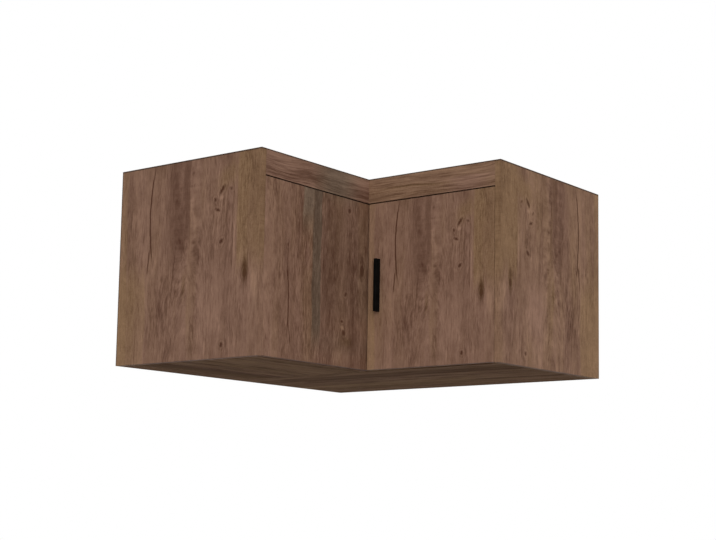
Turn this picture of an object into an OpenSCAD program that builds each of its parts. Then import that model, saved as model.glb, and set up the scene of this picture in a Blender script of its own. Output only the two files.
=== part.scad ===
// Corner wall cabinet with two wings: a door on the right wing, a fixed front on the left wing,
// and a fascia above each. The corner of the two walls is the origin: the right wing runs along +X
// with its door facing -Y, the left wing runs along -Y facing +X, and Z = 0 is the underside.

/* [Cabinet] */
// Length of each wing along its wall, over the side panel
wing_len = 890; // [800:10:1000]
// Depth of each wing, from the wall to the face of its front
depth = 480; // [440:5:520]
// Height of the side panels
height = 500; // [440:10:720]

/* [Boards] */
// Thickness of the laminated boards of the carcass
board_t = 16; // [15:0.5:19]
// Thickness of the door, the fixed front and the fascias
front_t = 16; // [15:0.5:19]
// Thickness of the hardboard backs
back_t = 3; // [2.5:0.5:4]
// Width of the rebate that holds a back in each side panel
rebate_w = 8; // [6:0.5:10]
// Height of the rails that the wall screws pass through
rail_h = 100; // [70:5:130]
// Width of the post in the corner of the walls
rear_post_w = 100; // [70:5:140]
// How far the shelf stays behind the faces of the fronts
shelf_setback = 42; // [40:1:80]
// Height of the shelf's underside above the bottom board
shelf_rise = 220; // [120:10:300]
// Gap round the shelf, at the panels and the backs
shelf_gap = 1; // [0.5:0.5:3]

/* [Fronts] */
// Height of each fascia
fascia_h = 64; // [50:1:100]
// Gap under each fascia
top_gap = 3; // [1.5:0.5:4]
// Gap between the door and its side panel
side_gap = 1.5; // [1:0.5:4]
// Gap between the door and the inside corner of the fronts
corner_gap = 2; // [1.5:0.5:4]
// Gap between the closed door and the boards behind it
stop_gap = 1.5; // [1.3:0.1:3]
// Height of the fronts' lower edge above the underside
door_raise = 1.5; // [1:0.5:4]
// Width of the corner post's lip behind the door
stop_lip = 20; // [14:1:30]
// Width of the corner post's lip behind the fixed front
fixed_lip = 30; // [24:1:40]
// Thickness of the corner post's lips
post_t = 16; // [12:1:22]
// Width of the chamfer on the edges of the door
door_edge_r = 0.8; // [0.4:0.1:1.5]

/* [Handle] */
// Length of the handle
handle_len = 136; // [100:2:200]
// Width of the handle
handle_w = 8.5; // [7:0.5:14]
// How far the handle stands out from the door
handle_out = 17.5; // [12:0.5:30]
// From the inside corner of the fronts to the handle's far side
handle_inset = 41; // [30:1:80]
// Height of the handle's lower end above the underside
handle_rise = 150; // [60:5:260]
// From each end of the handle to its screw
handle_screw_end = 4.5; // [4:0.5:20]
// Wall of the hollow handle
handle_wall = 1.8; // [1.4:0.1:2.4]
// Chamfer on the edges of the handle
handle_edge = 0.8; // [0.4:0.1:1.6]

/* [Hinges] */
// Diameter of a hinge cup
cup_d = 35; // [33:0.5:35]
// Depth of a hinge cup in the door
cup_depth = 11.5; // [10.5:0.5:12]
// Wall of a hinge cup
cup_wall = 1; // [0.8:0.1:1.2]
// Thickness of a hinge cup's flange
flange_t = 1.2; // [0.8:0.1:1.5]
// From the hinge edge of the door to the middle of the cup
cup_inset = 22.5; // [22:0.1:23]
// Distance between the two screws of a cup
cup_screw_pitch = 45; // [42:1:52]
// From the middle of the cup to the line of its screws
cup_screw_offset = 9.5; // [5:0.5:10]
// From the end of a door to the middle of the nearest hinge
hinge_end = 85; // [60:5:130]
// Width of the hinge arm
arm_w = 17; // [15:1:20]
// Length of the hinge arm
arm_len = 72; // [64:1:84]
// Width of the hinge link
link_w = 11; // [8:1:12]
// Radius of the pin that the link turns on
link_pin_r = 1.2; // [1:0.1:1.3]
// Thickness of the mounting plate
plate_t = 3.6; // [3:0.1:4]
// From the back of the closed door to the screws of the mounting plate
plate_screw_back = 37; // [34:1:40]
// Distance between the two screws of a mounting plate
plate_screw_pitch = 32; // [28:1:40]

/* [Fixings] */
// Diameter of a cam lock
cam_d = 15; // [12:1:15]
// Height of a cam lock
cam_h = 12.3; // [10.5:0.1:12.5]
// From the end of a board to the middle of its cam lock
cam_back = 34; // [24:2:40]
// Diameter of a wooden dowel
dowel_d = 8; // [6:1:8]
// Length of a wooden dowel
dowel_len = 30; // [25:1:35]
// Depth of the fixing holes in the face of a board
face_hole = 11; // [9:0.5:12]
// Distance between the two wall screws of a rail
wall_screw_pitch = 500; // [300:20:560]
// Diameter of the wall screw holes
wall_hole_d = 6.5; // [5:0.5:9]
// Diameter of a shelf pin
pin_d = 5; // [4:0.5:6]
// Thickness of the soft bumpers that the door closes on
bumper_t = 1.2; // [0.8:0.1:1.2]

/* [Hidden] */

// Finishes
oak = "#73594a";
oak_inside = "#6d5547";
hardboard = "#8a6b4c";
steel = "#b9bcc0";
black = "#17171a";
beech = "#d8b98a";
clear_rubber = "#c9ccce";

// Smoothness of round parts
round_fn = 48;
small_fn = 32;
// Overlap that lets a cut pass right through a face
cut = 1;
// Clearance of a fastener in its bore, and of a screw in the piece that it clamps, at the radius
fit = 0.05;
loose = 0.2;
// Spare depth of a blind hole past its fastener
spare = 0.3;
// Gap between a back and the end of its rebate
back_gap = 0.5;

// Planes of the carcass, measured from the walls
panel_face = wing_len - board_t;
front_back = depth - front_t;
floor_front = front_back - stop_gap;
rail_face = back_t + board_t;

// The door's ends, and the fronts' upper edge
door_hinge_edge = panel_face - side_gap;
door_free_edge = depth + corner_gap;
door_top = height - fascia_h - top_gap;
hinge_heights = [door_raise + hinge_end, door_top - hinge_end];

// Shelf and pins
shelf_z = board_t + shelf_rise;
pin_depth = 9;
pin_out = 8;
pin_hole_pitch = 32;
pin_hole_rows = [-2, -1, 0, 1, 2];
pin_inset = 60;
pin_places = [rail_face + pin_inset, depth - shelf_setback - pin_inset];

// Wall screws, in the middle of each rail
wall_hole_z = height - board_t - rail_h / 2;
right_rail_mid = (rail_face + panel_face) / 2;
left_rail_mid = (back_t + rear_post_w + panel_face) / 2;

// Cam joints and dowels along the ends of the boards, measured from the wall or from the rail's middle
edge_inset = 18;
end_cams = [back_t + 5 * edge_inset, front_back - 5 * edge_inset];
end_dowels = [back_t + 3 * edge_inset, front_back - 3 * edge_inset];
butt_inset = 60;
butt_cams = [rail_face + butt_inset, front_back - 5 * edge_inset];
butt_dowels = [rail_face + edge_inset, front_back - 3 * edge_inset];
rail_cams = [0];
rail_dowels = [rail_h / 2 - edge_inset];
edge_dowels = [-rail_h / 2 + edge_inset, rail_h / 2 - edge_inset];
fascia_dowels = [-fascia_h / 2 + edge_inset, fascia_h / 2 - edge_inset];
cam_shank_r = 3.6;
cam_neck_r = 2.2;
cam_head_r = 3.4;
cam_head_len = 4;
cam_recess = 2;
bolt_bore_r = 4;
dowel_chamfer = 1;

// The fixed front: its dowels in the side panel, and its screws through the corner post
front_inset = 60;
front_dowels = [door_raise + front_inset, (door_raise + door_top) / 2, door_top - front_inset];
front_screw_r = 2;
front_screw_len = 10;
front_screw_head_r = 4;
front_screw_head_t = 2.2;

// The corner post, and the dowels in the ends of the two posts
post_outer = front_t + stop_gap;
post_inner = post_outer + post_t;
post_dowel_r = 3;
post_dowel_inset = 25;
post_dowel_xy = [
  [front_back - post_t / 2, -depth + post_inner - post_t / 2],
  [back_t + board_t / 2, -back_t - post_dowel_inset],
  [back_t + board_t / 2, -back_t - rear_post_w + post_dowel_inset]
];
post_dowel_z = [board_t - face_hole, height - board_t + face_hole - dowel_len];

// Handle and its screws
handle_x = depth + handle_inset - handle_w / 2;
handle_screw_z = [handle_rise + handle_screw_end, handle_rise + handle_len - handle_screw_end];
handle_screw_r = 2;
handle_screw_grip = 9;
handle_head_r = 4;
handle_head_t = 2.4;

// Hinges, measured from the door's outer corner at the hinge: X towards the panel, Y inwards
cup_r = cup_d / 2;
cup_mouth = front_t + flange_t;
cup_ear_r = 6;
cup_rim = 0.6;
cup_flat = 0.3;
cup_screw_r = 1.6;
cup_screw_len = 11;
cup_screw_head_r = 3.6;
cup_screw_head_t = 1.6;
pivot_inset = 2.2;
pivot_behind_door = 2.9;
link_pivot = [-pivot_inset, front_t + pivot_behind_door];
crank_past_cup = 18.8;
crank_behind_door = 13.8;
end_past_cup = 10.7;
end_in_cup = 5;
link_crank = [-cup_inset - crank_past_cup, front_t + crank_behind_door];
link_end = [-cup_inset - end_past_cup, front_t - end_in_cup];
link_bend_a = 0.24;
link_bend_b = 0.12;
link_eye_r = 2.4;
link_t = 2;
arm_wall = 1.4;
arm_nose_r = 2.4;
arm_back = link_pivot[1] + arm_len;
// The arm gets deeper by a step behind its nose, over the length of the ramp
arm_step = 2;
arm_ramp = 14;
arm_tail = 6;
plate_front = link_pivot[1] + arm_ramp + arm_tail;
// Length of the opening in the arm's nose that the link swings in
link_room = 12;
depth_slot = [12, 4.4];
arm_screw_r = 2;
arm_screw_len = 7;
arm_head_r = 3.2;
arm_head_t = 1.8;
plate_top = side_gap - plate_t;
plate_tail = 3;
plate_screw_y = front_t + plate_screw_back;
plate_screw_z = [-plate_screw_pitch / 2, plate_screw_pitch / 2];
// The arm's outer face, and the places along it of its set screw and its depth screw
arm_face = link_pivot[0] - arm_nose_r - arm_step;
set_screw_y = plate_front + arm_tail;
depth_screw_y = plate_screw_y + arm_tail + depth_slot[0] / 2;
plate_body_w = 16;
plate_wing_w = 13;
plate_wing_t = 2;
plate_screw_r = 2.6;
plate_screw_len = 11;
plate_head_r = 4.2;
plate_head_t = 2;

// Cross recess and conical head of the small screws
recess_slot = 1;
recess_depth = 1;
head_cone = 0.8;

// Nails of the backs, along the boards and up the rebates of the side panels
nail_r = 0.8;
nail_len = 18;
nail_head_r = 1.8;
nail_head_t = 0.8;
nail_start = 66;
nail_pitch = 148;
nail_along = [for (x = [nail_start : nail_pitch : panel_face - 2 * cam_back]) x];
nail_up = [0.25 * height, 0.5 * height, 0.75 * height];
nail_rebate_x = panel_face + rebate_w / 2;

// Bumpers on the corner post
bumper_r = 5;
bumper_end = 45;
bumper_x = (door_free_edge + depth + stop_lip) / 2;
bumper_z = [door_raise + bumper_end, door_top - bumper_end];

// Brackets behind the fascias and the fixed front
bracket_t = 2;
bracket_leg = 28;
bracket_w = 20;
bracket_hole = 18;
bracket_screw_r = 1.7;
bracket_screw_len = 10;
bracket_hole_len = bracket_screw_len + spare;
bracket_head_r = 3.4;
bracket_head_t = 1.8;
bracket_end = 70;
bracket_places = [depth + bracket_end, panel_face - bracket_end];

// Placing

// The left wing is the right wing mirrored about the line from the corner of the walls
module left_wing() { mirror([1, 1, 0]) children(); }

// A box between two corners
module block(low, high) { translate(low) cube(high - low); }

// A round hole or rod along X, Y or Z from a point
module rod_x(p, r, len, fn = small_fn) { translate(p) rotate([0, 90, 0]) cylinder(r = r, h = len, $fn = fn); }
module rod_y(p, r, len, fn = small_fn) {
  translate(p) rotate([-90, 0, 0]) cylinder(r = r, h = len, $fn = fn);
}
module rod_z(p, r, len, fn = small_fn) { translate(p) cylinder(r = r, h = len, $fn = fn); }

// A screw from the seat of its head down +Z, with a cross recess in the head
module screw(r, len, head_r, head_t, cone = head_cone) {
  difference() {
    union() {
      translate([0, 0, -head_t]) cylinder(r1 = head_r - cone, r2 = head_r, h = head_t, $fn = small_fn);
      translate([0, 0, -cut / 2]) cylinder(r = r, h = len + cut / 2, $fn = small_fn);
    }
    for (a = [0, 90]) rotate(a) translate([-head_r / 2, -recess_slot / 2, -head_t - cut])
      cube([head_r, recess_slot, cut + recess_depth]);
  }
}

// The joints between boards: local X runs into the receiving board, local Z faces the cam's side
module at_top_end() { translate([panel_face, 0, height - board_t / 2]) children(); }
module at_floor_end() { translate([panel_face, 0, board_t / 2]) children(); }
module at_top_butt() { translate([0, -front_back, height - board_t / 2]) rotate([0, 0, 90]) children(); }
module at_floor_butt() { translate([0, -floor_front, board_t / 2]) rotate([0, 0, 90]) children(); }
module at_rail_end() {
  translate([panel_face, -back_t - board_t / 2, wall_hole_z]) rotate([90, 0, 0]) children();
}
module at_fascia_end() {
  translate([panel_face, -depth + front_t / 2, height - fascia_h / 2]) rotate([-90, 0, 0]) children();
}
module at_fixed_end() {
  left_wing() translate([panel_face, -depth + front_t / 2, 0]) rotate([-90, 0, 0]) children();
}

// The hinges: the origin is the door's outer corner at the hinge, at each hinge's height
module at_hinges() { for (z = hinge_heights) translate([door_hinge_edge, -depth, z]) children(); }

// Fixing holes

// Cam pockets and bolt holes in the end of a board, at places along the joint
module cam_holes(places) {
  for (p = places) {
    rod_z([-cam_back, -p, board_t / 2 - cam_h - spare], cam_d / 2 + fit, cam_h + spare + cut, round_fn);
    rod_x([-cam_back, -p, 0], bolt_bore_r, cam_back + cut);
  }
}
// Holes for cam bolts in the face of the receiving board
module bolt_holes(places) { for (p = places) rod_x([-cut, -p, 0], cam_shank_r + fit, face_hole + cut); }
// Dowel holes in the end of a board
module dowel_end_holes(places) {
  deep = dowel_len - face_hole + 2 * spare;
  for (p = places) rod_x([-deep, -p, 0], dowel_d / 2 + fit, deep + cut);
}
// Dowel holes in the face of the receiving board
module dowel_face_holes(places) {
  for (p = places) rod_x([-cut, -p, 0], dowel_d / 2 + fit, face_hole + cut);
}

// Everything that the long board of the top or bottom is drilled for at its right end
module board_end_holes() { cam_holes(end_cams); dowel_end_holes(end_dowels); }
// Everything that a side panel is drilled for along one board
module panel_face_holes() { bolt_holes(end_cams); dowel_face_holes(end_dowels); }

// The nails of the right back, and their holes
module nail(p) {
  rod_y([p[0], -nail_len, p[1]], nail_r, nail_len);
  rod_y([p[0], -nail_head_t, p[1]], nail_head_r, nail_head_t);
}
module right_nails() {
  for (x = nail_along) {
    nail([x, board_t / 2]);
    nail([x, height - board_t / 2]);
  }
  for (z = nail_up) nail([nail_rebate_x, z]);
}
module nail_hole(x, z) {
  rod_y([x, -nail_len - spare, z], nail_r + fit, nail_len + spare + cut);
  rod_y([x, -nail_head_t, z], nail_head_r + fit, nail_head_t + cut);
}
module board_nail_holes() { for (x = nail_along, z = [board_t / 2, height - board_t / 2]) nail_hole(x, z); }
module side_nail_holes() { for (z = nail_up) nail_hole(nail_rebate_x, z); }

// Side panels

// A hole for a shelf pin, under the shelf, and the rows of them in a side panel
module pin_hole() { rod_x([-cut, 0, -pin_d / 2], pin_d / 2 + fit, pin_depth + spare + cut); }
module pin_holes() {
  for (p = pin_places, k = pin_hole_rows)
    translate([panel_face, -p, shelf_z + k * pin_hole_pitch]) pin_hole();
}
// Holes for the screws of the mounting plates
module plate_holes() {
  at_hinges() for (z = plate_screw_z)
    rod_x([side_gap - cut, plate_screw_y, z], plate_screw_r + fit, plate_screw_len + spare + cut);
}

module side_board() {
  difference() {
    block([panel_face, -depth, 0], [wing_len, 0, height]);
    // Rebate for the back
    block([panel_face - cut, -back_t, -cut], [panel_face + rebate_w, cut, height + cut]);
    at_top_end() panel_face_holes();
    at_floor_end() panel_face_holes();
    at_rail_end() {
      bolt_holes(rail_cams);
      dowel_face_holes(rail_dowels);
    }
    at_fascia_end() dowel_face_holes(fascia_dowels);
    pin_holes();
    side_nail_holes();
  }
}
module side_panel_right() {
  color(oak) difference() {
    side_board();
    plate_holes();
  }
}
module side_panel_left() {
  color(oak) difference() {
    left_wing() side_board();
    at_fixed_end() dowel_face_holes(front_dowels);
  }
}

// Bottom and top: a long board along the right wall, and a short one that butts against it

module bottom_board_long() {
  color(oak) difference() {
    block([back_t, -floor_front, 0], [panel_face, -back_t, board_t]);
    at_floor_end() board_end_holes();
    at_floor_butt() {
      bolt_holes(butt_cams);
      dowel_face_holes(butt_dowels);
    }
    post_dowel_holes();
    board_nail_holes();
    left_wing() board_nail_holes();
  }
}
module bottom_board_short() {
  color(oak) difference() {
    block([back_t, -panel_face, 0], [front_back, -floor_front, board_t]);
    left_wing() at_floor_end() board_end_holes();
    at_floor_butt() {
      cam_holes(butt_cams);
      dowel_end_holes(butt_dowels);
    }
    left_wing() at_floor_brackets() bracket_leg_hole();
    left_wing() board_nail_holes();
  }
}
module top_board_long() {
  color(oak_inside) difference() {
    block([back_t, -front_back, height - board_t], [panel_face, -back_t, height]);
    at_top_end() board_end_holes();
    at_top_butt() {
      bolt_holes(butt_cams);
      dowel_face_holes(butt_dowels);
    }
    post_dowel_holes();
    at_fascia_brackets() bracket_leg_hole();
    board_nail_holes();
    left_wing() board_nail_holes();
  }
}
module top_board_short() {
  color(oak_inside) difference() {
    block([back_t, -panel_face, height - board_t], [front_back, -front_back, height]);
    left_wing() at_top_end() board_end_holes();
    at_top_butt() {
      cam_holes(butt_cams);
      dowel_end_holes(butt_dowels);
    }
    left_wing() at_fascia_brackets() bracket_leg_hole();
    left_wing() board_nail_holes();
  }
}

// Hardboard backs, nailed to the boards and into the rebates of the side panels

// The wall screws' holes, through the back and the rail behind it
module wall_holes(middle) {
  for (s = [-1, 1])
    rod_y(
      [middle + s * wall_screw_pitch / 2, -rail_face - cut, wall_hole_z],
      wall_hole_d / 2, rail_face + 2 * cut, round_fn
    );
}
module back_panel_right() {
  color(hardboard) difference() {
    block([0, -back_t, 0], [panel_face + rebate_w - back_gap, 0, height]);
    wall_holes(right_rail_mid);
    board_nail_holes();
    side_nail_holes();
  }
}
module back_panel_left() {
  color(hardboard) difference() {
    block([0, -panel_face - rebate_w + back_gap, 0], [back_t, -back_t, height]);
    left_wing() wall_holes(left_rail_mid);
    left_wing() {
      board_nail_holes();
      side_nail_holes();
    }
  }
}

// Posts and hanging rails

// The corner post: one lip stops the door, and the end of the fixed front is screwed to the other
module corner_post() {
  color(oak) difference() {
    translate([depth, -depth, board_t]) linear_extrude(height - 2 * board_t)
      polygon([
        [stop_lip, post_outer], [stop_lip, post_inner], [-front_t - post_t, post_inner],
        [-front_t - post_t, -fixed_lip], [-front_t, -fixed_lip], [-front_t, front_t],
        [0, front_t], [0, post_outer]
      ]);
    post_dowel_holes();
    at_front_screws() rod_z([0, 0, -cut], front_screw_r + loose, post_t + 2 * cut);
  }
}
// The screws of the fixed front start at the inner face of the post's lip
module at_front_screws() {
  for (z = front_dowels)
    translate([front_back - post_t, -depth - fixed_lip / 2, z]) rotate([0, 90, 0]) children();
}
module rear_post() {
  color(oak_inside) difference() {
    block([back_t, -back_t - rear_post_w, board_t], [rail_face, -back_t, height - board_t]);
    post_dowel_holes();
    at_rear_pin() pin_hole();
    at_rear_rail_end() {
      bolt_holes(rail_cams);
      dowel_face_holes(rail_dowels);
    }
    at_rear_rail_edge() dowel_face_holes(edge_dowels);
  }
}
module post_dowel_holes() {
  for (p = post_dowel_xy, z = post_dowel_z)
    rod_z([p[0], p[1], z - spare], post_dowel_r + fit, dowel_len + 2 * spare);
}

// The shelf pin in the rear post, and the rails' ends there
module at_rear_pin() {
  translate([rail_face, -back_t - rear_post_w / 2, shelf_z]) rotate([0, 0, 180]) children();
}
module at_rear_rail_end() {
  translate([rail_face, -back_t - board_t / 2, wall_hole_z]) rotate([-90, 0, 180]) children();
}
module at_rear_rail_edge() {
  translate([back_t + board_t / 2, -back_t - rear_post_w, wall_hole_z]) rotate([90, 0, 90]) children();
}

module hanging_rail_right() {
  color(oak_inside) difference() {
    block([rail_face, -rail_face, height - board_t - rail_h], [panel_face, -back_t, height - board_t]);
    wall_holes(right_rail_mid);
    at_rail_end() {
      cam_holes(rail_cams);
      dowel_end_holes(rail_dowels);
    }
    at_rear_rail_end() {
      cam_holes(rail_cams);
      dowel_end_holes(rail_dowels);
    }
  }
}
module hanging_rail_left() {
  color(oak_inside) difference() {
    block(
      [back_t, -panel_face, height - board_t - rail_h],
      [rail_face, -back_t - rear_post_w, height - board_t]
    );
    left_wing() wall_holes(left_rail_mid);
    left_wing() at_rail_end() {
      cam_holes(rail_cams);
      dowel_end_holes(rail_dowels);
    }
    at_rear_rail_edge() dowel_end_holes(edge_dowels);
  }
}

// Fascias: the left one runs through to the inside corner, and the right one butts against it

module fascia(start) {
  color(oak) difference() {
    block([start, -depth, height - fascia_h], [panel_face, -front_back, height]);
    at_fascia_end() dowel_end_holes(fascia_dowels);
    at_fascia_brackets() bracket_front_hole();
  }
}
module fascia_right() { fascia(depth); }
module fascia_left() { left_wing() fascia(front_back); }

// The shelf: one L-shaped board on pins, notched round the post in the corner of the walls

module shelf() {
  wall = back_t + shelf_gap;
  notch = rail_face + shelf_gap;
  end = panel_face - shelf_gap;
  front = depth - shelf_setback;
  color(oak_inside) translate([0, 0, shelf_z]) linear_extrude(board_t)
    polygon([
      [notch, -wall], [end, -wall], [end, -front], [front, -front], [front, -end], [wall, -end],
      [wall, -back_t - rear_post_w - shelf_gap], [notch, -back_t - rear_post_w - shelf_gap]
    ]);
}

// The fixed front of the left wing: it runs through to the inside corner, beside the door

module fixed_front() {
  color(oak) difference() {
    block([front_back, -panel_face, door_raise], [depth, -front_back, door_top]);
    at_fixed_end() dowel_end_holes(front_dowels);
    at_front_screws() rod_z([0, 0, post_t - cut], front_screw_r + fit, front_screw_len + spare + cut);
    left_wing() at_floor_brackets() bracket_front_hole();
  }
}
module front_screws() {
  color(steel) at_front_screws()
    screw(front_screw_r, post_t + front_screw_len, front_screw_head_r, front_screw_head_t);
}

// The door

// A door board with its four long edges eased
module door_board() {
  e = door_edge_r;
  translate([0, 0, door_raise]) linear_extrude(door_top - door_raise)
    polygon([
      [door_free_edge, -depth + e], [door_free_edge + e, -depth],
      [door_hinge_edge - e, -depth], [door_hinge_edge, -depth + e],
      [door_hinge_edge, -front_back - e], [door_hinge_edge - e, -front_back],
      [door_free_edge + e, -front_back], [door_free_edge, -front_back - e]
    ]);
}
// Cup holes, and the pilot holes of the cups' screws
module cup_holes() {
  at_hinges() {
    rod_y([-cup_inset, front_t - cup_depth - spare, 0], cup_r + fit, cup_depth + spare + cut, round_fn);
    for (s = [-1, 1])
      rod_y(
        [-cup_inset - cup_screw_offset, front_t - cup_screw_len - spare, s * cup_screw_pitch / 2],
        cup_screw_r + fit, cup_screw_len + spare + cut
      );
  }
}

module door() {
  color(oak) difference() {
    door_board();
    cup_holes();
    for (z = handle_screw_z)
      rod_y([handle_x, -depth - cut, z], handle_screw_r + loose, front_t + 2 * cut);
  }
}

// Handle: a slim bar cast hollow from behind, with a solid end round each screw

module handle_bar() {
  e = handle_edge;
  w = handle_w / 2;
  boss = handle_screw_end + handle_screw_r + handle_wall;
  color(black) translate([handle_x, -depth, handle_rise]) difference() {
    intersection() {
      linear_extrude(handle_len)
        polygon([
          [-w, 0], [-w, -handle_out + e], [-w + e, -handle_out],
          [w - e, -handle_out], [w, -handle_out + e], [w, 0]
        ]);
      translate([-handle_w, 0, 0]) rotate([90, 0, 90]) linear_extrude(2 * handle_w)
        polygon([
          [0, 0], [-handle_out + e, 0], [-handle_out, e],
          [-handle_out, handle_len - e], [-handle_out + e, handle_len], [0, handle_len]
        ]);
    }
    // The hollow between the two screws
    block([-w + handle_wall, -handle_out + handle_wall, boss], [w - handle_wall, cut, handle_len - boss]);
    for (z = [handle_screw_end, handle_len - handle_screw_end])
      rod_y([0, -handle_screw_grip - spare, z], handle_screw_r + fit, handle_screw_grip + spare + cut);
  }
}

// The handle's screws: pan heads behind the door, with a cross recess
module handle_screws() {
  color(steel) for (z = handle_screw_z) translate([handle_x, -front_back, z]) rotate([90, 0, 0])
    screw(handle_screw_r, front_t + handle_screw_grip, handle_head_r, handle_head_t, 0);
}

// Hinges

// A cup with its flange and two screw ears, open towards the cabinet
module hinge_cup() {
  translate([-cup_inset, front_t, 0]) rotate([90, 0, 0]) difference() {
    union() {
      cylinder(r = cup_r, h = cup_depth, $fn = round_fn);
      translate([0, 0, -flange_t]) linear_extrude(flange_t) cup_flange();
    }
    translate([0, 0, -flange_t - cut])
      cylinder(r = cup_r - cup_wall, h = flange_t + cut + cup_depth - cup_wall, $fn = round_fn);
    for (s = [-1, 1])
      translate([-cup_screw_offset, s * cup_screw_pitch / 2, -flange_t - cut])
        cylinder(r = cup_screw_r + loose, h = flange_t + 2 * cut, $fn = small_fn);
  }
}
module cup_flange() {
  difference() {
    circle(r = cup_r + cup_rim, $fn = round_fn);
    // The rim is cut flat beside the link's pin
    translate([cup_r - cup_flat, -cup_r]) square(2 * cup_r);
  }
  for (s = [-1, 1])
    translate([-cup_screw_offset, s * cup_screw_pitch / 2]) circle(r = cup_ear_r, $fn = small_fn);
  translate([-cup_screw_offset - cup_ear_r, -cup_screw_pitch / 2]) square([2 * cup_ear_r, cup_screw_pitch]);
}
module hinge_cups() { color(steel) at_hinges() hinge_cup(); }

module cup_screws() {
  for (s = [-1, 1])
    translate([-cup_inset - cup_screw_offset, cup_mouth, s * cup_screw_pitch / 2]) rotate([90, 0, 0])
      screw(cup_screw_r, flange_t + cup_screw_len, cup_screw_head_r, cup_screw_head_t);
}
module hinge_cup_screws() { color(steel) at_hinges() cup_screws(); }

// The link: a cranked steel strip that turns on the arm's pin and reaches into the cup
function across(a, b) = [a[1] - b[1], b[0] - a[0]] / norm(b - a);
// The side of the strip through a bend, mitred, at half the strip's thickness from its middle
function side_at(a, b, c, t) = b + (across(a, b) + across(b, c)) * t / (1 + across(a, b) * across(b, c));
module hinge_link() {
  bend_a = link_crank + (link_pivot - link_crank) * link_bend_a;
  bend_b = link_crank + (link_end - link_crank) * link_bend_b;
  t = link_t / 2;
  translate([0, 0, -link_w / 2]) linear_extrude(link_w) difference() {
    union() {
      translate(link_pivot) circle(r = link_eye_r, $fn = small_fn);
      polygon([
        link_pivot + across(link_pivot, bend_a) * t,
        side_at(link_pivot, bend_a, bend_b, t),
        side_at(bend_a, bend_b, link_end, t),
        link_end + across(bend_b, link_end) * t,
        link_end - across(bend_b, link_end) * t,
        side_at(bend_a, bend_b, link_end, -t),
        side_at(link_pivot, bend_a, bend_b, -t),
        link_pivot - across(link_pivot, bend_a) * t
      ]);
    }
    translate(link_pivot) circle(r = link_pin_r + fit, $fn = small_fn);
  }
}
module hinge_links() { color(steel) at_hinges() hinge_link(); }

// The arm: a pressed channel, open towards the panel, that carries the pin at its front end
module hinge_arm() {
  r = arm_nose_r;
  x = link_pivot[0];
  y = link_pivot[1];
  difference() {
    translate([0, 0, -arm_w / 2]) linear_extrude(arm_w) {
      translate(link_pivot) circle(r = r, $fn = small_fn);
      polygon([
        [x - r, y], [x - r - arm_step, y + arm_ramp], [x - r - arm_step, arm_back],
        [plate_top, arm_back], [plate_top, y + arm_ramp], [x + r, y]
      ]);
    }
    // The channel between the two cheeks
    translate([0, 0, -arm_w / 2 + arm_wall]) linear_extrude(arm_w - 2 * arm_wall)
      polygon([
        [x - r - arm_step, y - r - cut], [x - r - arm_step, y + link_room],
        [x - r - arm_step + arm_wall, y + link_room + arm_step],
        [x - r - arm_step + arm_wall, arm_back - arm_tail], [side_gap, arm_back - arm_tail],
        [side_gap, y - r - cut]
      ]);
    rod_z([x, y, -arm_w], link_pin_r + fit / 2, 2 * arm_w);
    // Hole of the set screw, and slot of the depth screw
    rod_x([arm_face - cut, set_screw_y, 0], arm_screw_r + fit, arm_wall + 2 * cut);
    translate([arm_face - cut, depth_screw_y - depth_slot[0] / 2, -depth_slot[1] / 2])
      cube([arm_wall + 2 * cut, depth_slot[0], depth_slot[1]]);
  }
}
module hinge_arms() { color(steel) at_hinges() hinge_arm(); }

// The screws that set the arm's depth and its distance from the plate
module arm_screws() {
  translate([arm_face, depth_screw_y, 0]) rotate([0, 90, 0])
    screw(arm_screw_r, arm_screw_len, arm_head_r, arm_head_t);
  translate([arm_face, set_screw_y, 0]) rotate([0, 90, 0])
    screw(arm_screw_r, plate_top - arm_face, arm_screw_r, arm_head_t / 2);
}
module hinge_arm_screws() { color(steel) at_hinges() arm_screws(); }

// The pin between the arm's cheeks
module hinge_pin() {
  rod_z([link_pivot[0], link_pivot[1], -arm_w / 2 - spare], link_pin_r, arm_w + 2 * spare);
}
module hinge_pins() { color(steel) at_hinges() hinge_pin(); }

// The mounting plate: a body under the arm and two wings with a screw each
module hinge_plate() {
  difference() {
    union() {
      block([plate_top, plate_front, -plate_body_w / 2], [side_gap, arm_back + plate_tail, plate_body_w / 2]);
      block(
        [side_gap - plate_wing_t, plate_screw_y - plate_wing_w / 2, -plate_screw_pitch / 2],
        [side_gap, plate_screw_y + plate_wing_w / 2, plate_screw_pitch / 2]
      );
      for (z = plate_screw_z)
        rod_x([side_gap - plate_wing_t, plate_screw_y, z], plate_wing_w / 2, plate_wing_t);
    }
    for (z = plate_screw_z)
      rod_x([plate_top - cut, plate_screw_y, z], plate_screw_r + loose, plate_t + 2 * cut);
    rod_x([plate_top - cut, depth_screw_y, 0], arm_screw_r + fit, plate_t + 2 * cut);
  }
}
module hinge_plates() { color(steel) at_hinges() hinge_plate(); }

module plate_screws() {
  for (z = plate_screw_z)
    translate([side_gap - plate_wing_t, plate_screw_y, z]) rotate([0, 90, 0])
      screw(plate_screw_r, plate_wing_t + plate_screw_len, plate_head_r, plate_head_t);
}
module hinge_plate_screws() { color(steel) at_hinges() plate_screws(); }

// Cam locks, cam bolts and dowels

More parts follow.
